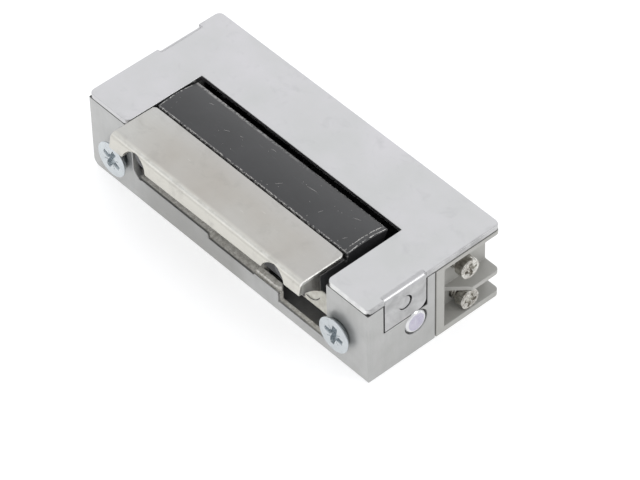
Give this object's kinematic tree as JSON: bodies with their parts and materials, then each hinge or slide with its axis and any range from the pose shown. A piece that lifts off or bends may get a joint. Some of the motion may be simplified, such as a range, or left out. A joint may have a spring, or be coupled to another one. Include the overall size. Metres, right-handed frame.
{
  "type": "electric door strike",
  "caption": "Compact electric door strike: die-cast body with sheet cover, swinging keeper with adjustable nose, coil-freed lock and screw terminals at one end.",
  "frame": {"origin": "middle of the housing's 66.5 x 28 mm underside", "axes": "+X along the length towards the terminal end, -Y towards the faceplate and the door, +Z from the underside to the cover; the keeper's nose stands 4.1 mm past the front face"},
  "size_m": [0.0666, 0.0321, 0.016],
  "materials": {
    "die_cast_zinc": "satin die-cast zinc, fine casting grain, scuffed lower edges",
    "plated_sheet": "satin cool-grey zinc plate",
    "black_paint": "satin black paint, worn pale along its edges",
    "nickel_nose": "satin warm nickel plate",
    "dark_steel": "black oxide steel",
    "rivet_steel": "bright zinc plate with a violet tint",
    "spring_steel": "drawn spring wire",
    "lever_steel": "blanked and tumbled steel",
    "pin_steel": "ground pin",
    "magnet_iron": "soft iron, thin zinc plate",
    "bobbin_plastic": "black nylon",
    "copper_wire": "enamelled copper wire",
    "winding_tape": "black cloth tape",
    "lead_insulation": "sleeved lead",
    "fibre_sheet": "vulcanised fibre",
    "terminal_plastic": "moulded warm-grey plastic",
    "bright_zinc": "bright bluish zinc plate",
    "brass_part": "turned brass"
  },
  "bodies": {
    "body": {"housing": "die_cast_zinc", "cover_plate": "plated_sheet", "keeper_pivot_pin": "rivet_steel", "keeper_return_spring": "spring_steel", "lever_pin": "pin_steel", "lever_clip": "dark_steel", "lever_spring": "spring_steel", "armature_pin": "pin_steel", "armature_spring": "spring_steel", "coil_bobbin": "bobbin_plastic", "coil_winding": "copper_wire", "coil_tape": "winding_tape", "coil_core": "magnet_iron", "magnet_yoke": "magnet_iron", "coil_leads": "lead_insulation", "insulating_sheet": "fibre_sheet", "terminal_block": "terminal_plastic", "terminal_screws": "bright_zinc", "terminal_nuts": "brass_part", "contact_strips": "brass_part", "faceplate_screws": "bright_zinc"},
    "keeper": {"keeper_swivel": "black_paint", "keeper_nose": "nickel_nose", "keeper_clamp_screws": "dark_steel"},
    "locking_lever": {"locking_lever": "lever_steel"},
    "armature": {"armature": "magnet_iron"}
  },
  "joints": [
    {"name": "keeper_swing", "type": "hinge", "parent": "body", "child": "keeper", "pos_m": [0, -0.0039, 0.0066], "axis": [-1, 0, 0], "range_deg": [0, 45], "stiffness_Nm_per_rad": 0.02, "springref_deg": -28.65, "deforming": ["keeper_return_spring"]},
    {"name": "locking_lever_swing", "type": "hinge", "parent": "body", "child": "locking_lever", "pos_m": [-0.02665, 0.0086, 0.0053], "axis": [0, 0, -1], "range_deg": [0, 5], "stiffness_Nm_per_rad": 0.01, "springref_deg": -2.86, "deforming": ["lever_spring"]},
    {"name": "armature_swing", "type": "hinge", "parent": "body", "child": "armature", "pos_m": [-0.00425, 0.0111, 0.0081], "axis": [0, 0, -1], "range_deg": [0, 12], "deforming": ["armature_spring"]}
  ],
  "couplings": [
    {"joint": "armature_swing", "follows": "locking_lever_swing", "ratio": 2.4}
  ]
}
